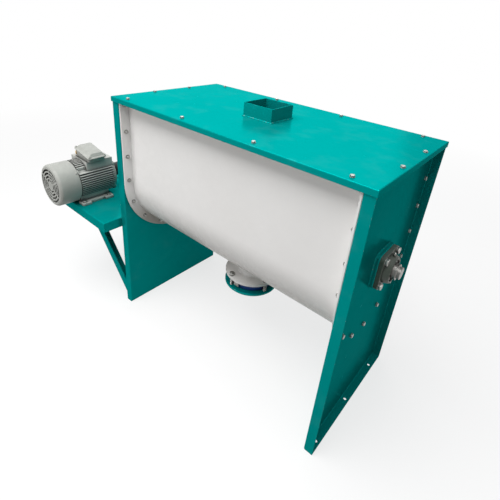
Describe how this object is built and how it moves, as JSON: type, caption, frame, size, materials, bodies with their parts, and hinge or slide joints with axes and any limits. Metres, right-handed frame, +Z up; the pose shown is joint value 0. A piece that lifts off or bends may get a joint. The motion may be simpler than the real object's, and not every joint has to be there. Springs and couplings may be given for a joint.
{
  "type": "dough mixer",
  "caption": "Horizontal trough dough mixer with a double helical ribbon agitator, foot motor, worm reducer and a butterfly valve for discharge.",
  "frame": {"origin": "middle of the machine's footprint on the floor", "axes": "+X along the agitator shaft to its free end, -Y the operator's side with the fan end of the motor, +Z up"},
  "size_m": [1.786, 0.9446, 1.219],
  "materials": {
    "enamel": "gloss enamel, turquoise",
    "trough": "semi-gloss enamel, off-white",
    "bearing": "satin enamel on cast iron, olive grey",
    "cast": "as cast",
    "steel": "ground",
    "stainless": "brushed",
    "zinc": "zinc plated",
    "motor_paint": "satin enamel, greenish grey",
    "reducer_paint": "gloss enamel, turquoise",
    "coupling": "blackened",
    "rubber": "matt black",
    "gasket": "matt, light grey",
    "spider": "satin, orange red",
    "brass": "turned",
    "bronze": "machined",
    "plastic": "matt black",
    "valve_blue": "semi-gloss enamel, deep blue",
    "winding": "varnished"
  },
  "bodies": {
    "frame": {"end_frame_free": "enamel", "end_frame_drive": "enamel", "trough_shell": "trough", "trough_flanges": "trough", "gaskets": "gasket", "end_fasteners": "zinc", "cover": "enamel", "cover_bolts": "zinc", "inlet_collar": "enamel", "bearing_seats": "enamel", "shaft_seals": "bronze", "bearing_housing_free": "bearing", "bearing_housing_drive": "bearing", "bearing_outer_rings": "steel", "bearing_bolts": "zinc", "motor_platform": "enamel", "platform_braces": "enamel", "motor_housing": "motor_paint", "motor_shields": "motor_paint", "fan_cowl": "motor_paint", "motor_stator": "winding", "terminal_box": "motor_paint", "terminal_box_lid": "motor_paint", "cable_gland": "brass", "reducer_riser": "enamel", "reducer_housing": "reducer_paint", "reducer_covers": "reducer_paint", "drive_fasteners": "zinc", "discharge_neck": "trough", "valve_body": "valve_blue", "valve_liner": "rubber", "stem_cap": "steel", "lever_quadrant": "zinc", "outlet_flange": "enamel", "valve_studs": "zinc"},
    "agitator": {"agitator_shaft": "steel", "outer_ribbon_free": "stainless", "outer_ribbon_drive": "stainless", "inner_ribbon_free": "stainless", "inner_ribbon_drive": "stainless", "ribbon_spokes": "stainless", "end_scrapers": "stainless", "bearing_inner_rings": "steel", "agitator_coupling_hub": "coupling", "agitator_spider": "spider", "output_coupling_hub": "coupling", "output_shaft": "steel", "worm_wheel": "bronze"},
    "rotor": {"motor_rotor": "steel", "cooling_fan": "plastic", "motor_coupling_hub": "coupling", "motor_spider": "spider", "worm_coupling_hub": "coupling", "worm_shaft": "steel"},
    "valve": {"valve_disc": "stainless", "valve_stem": "stainless", "valve_lever": "steel", "clamp_screw": "zinc"},
    "wing": {"wing_nut": "zinc"}
  },
  "joints": [
    {"name": "agitator_spin", "type": "hinge", "parent": "frame", "child": "agitator", "pos_m": [0.219, 0.04325, 0.738], "axis": [1, 0, 0], "continuous": true},
    {"name": "motor_spin", "type": "hinge", "parent": "frame", "child": "rotor", "pos_m": [-0.746, -0.15675, 0.652], "axis": [0, 1, 0], "continuous": true},
    {"name": "valve_open", "type": "hinge", "parent": "frame", "child": "valve", "pos_m": [0.219, 0.04325, 0.357], "axis": [0, 1, 0], "range_deg": [0, 90]},
    {"name": "wing_nut_turn", "type": "hinge", "parent": "valve", "child": "wing", "pos_m": [0.269, 0.21725, 0.357], "axis": [0, 1, 0], "range_deg": [0, 180]}
  ],
  "couplings": [
    {"joint": "motor_spin", "follows": "agitator_spin", "ratio": 20}
  ]
}
